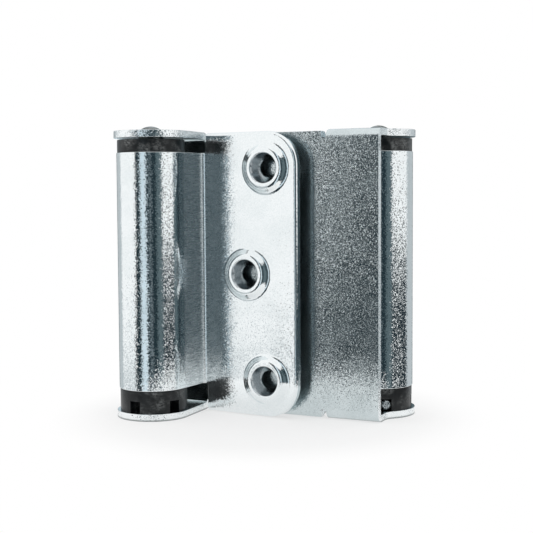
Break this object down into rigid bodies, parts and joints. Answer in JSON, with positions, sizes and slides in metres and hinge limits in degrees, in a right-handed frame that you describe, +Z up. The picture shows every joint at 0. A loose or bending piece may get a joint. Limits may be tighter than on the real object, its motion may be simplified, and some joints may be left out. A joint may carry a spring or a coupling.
{
  "type": "double action spring hinge",
  "caption": "Double action spring hinge for a swinging cafe door: folded link plate with a sprung barrel at each end and a rolled screw leaf on either side.",
  "frame": {"origin": "centre of the footprint, level with the outer face of the lower ears", "axes": "+X along the link plate towards the rear barrel, +Y from the front leaf to the rear leaf, +Z up along the spindles"},
  "size_m": [0.0772, 0.0502, 0.0813],
  "materials": {
    "link_zinc": "bright zinc plate over pressed steel, slightly frosted",
    "leaf_zinc": "bright zinc plate over pressed steel",
    "spindle_zinc": "zinc plated rivet",
    "black_nylon": "satin moulded nylon",
    "spring_steel": "drawn spring wire",
    "pin_steel": "turned steel pin"
  },
  "bodies": {
    "link": {"link_plate": "link_zinc", "left_spindle": "spindle_zinc", "left_tension_collar": "black_nylon", "left_spring": "spring_steel", "right_spindle": "spindle_zinc", "right_tension_collar": "black_nylon", "right_spring": "spring_steel"},
    "front_leaf_body": {"front_leaf": "leaf_zinc", "left_upper_bush": "black_nylon"},
    "rear_leaf_body": {"rear_leaf": "leaf_zinc", "right_upper_bush": "black_nylon"},
    "left_pin_body": {"left_tension_pin": "pin_steel"},
    "right_pin_body": {"right_tension_pin": "pin_steel"}
  },
  "joints": [
    {"name": "front_leaf_swing", "type": "hinge", "parent": "link", "child": "front_leaf_body", "pos_m": [-0.0283, -0.0148, 0], "axis": [0, 0, -1], "range_deg": [0, 175], "stiffness_Nm_per_rad": 0.3, "springref_deg": -34.38, "deforming": ["left_spring"]},
    {"name": "rear_leaf_swing", "type": "hinge", "parent": "link", "child": "rear_leaf_body", "pos_m": [0.0283, 0.0148, 0], "axis": [0, 0, -1], "range_deg": [0, 175], "stiffness_Nm_per_rad": 0.3, "springref_deg": -34.38, "deforming": ["right_spring"]},
    {"name": "left_pin_slide", "type": "slide", "parent": "link", "child": "left_pin_body", "axis": [-0.5446, 0.8387, 0], "range_m": [0, 0.012]},
    {"name": "right_pin_slide", "type": "slide", "parent": "link", "child": "right_pin_body", "axis": [0.5446, -0.8387, 0], "range_m": [0, 0.012]}
  ]
}
